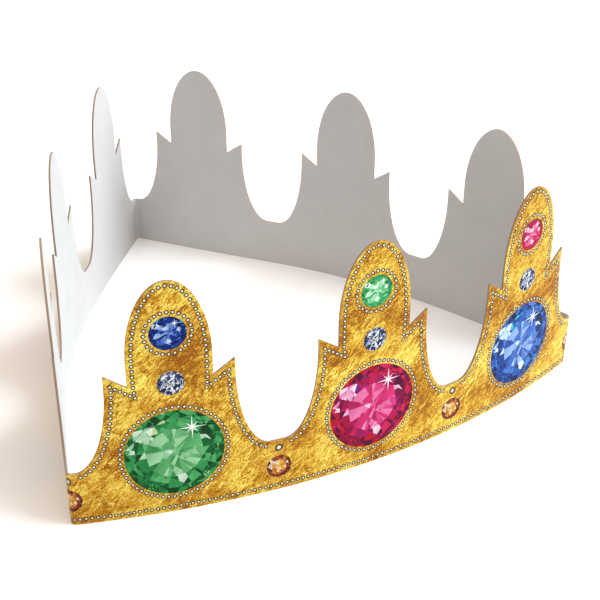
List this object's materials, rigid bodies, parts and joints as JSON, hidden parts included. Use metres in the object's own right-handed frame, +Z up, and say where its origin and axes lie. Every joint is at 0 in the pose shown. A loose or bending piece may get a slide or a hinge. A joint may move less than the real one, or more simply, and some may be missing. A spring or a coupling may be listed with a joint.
{
  "type": "paper crown",
  "caption": "Ring of die-cut printed card with tall rounded towers and small ears, folded at three corners, worn on the head.",
  "frame": {"origin": "middle of the bottom of the crown's box, on the surface that it stands on", "axes": "+Z up through the towers, -Y out of the front panel, +X to the right seen from the front"},
  "size_m": [0.1902, 0.1862, 0.0805],
  "materials": {
    "card": "gold printed face with a satin varnish, plain white inside"
  },
  "bodies": {
    "root": {"crown_band": "card"}
  },
  "joints": []
}
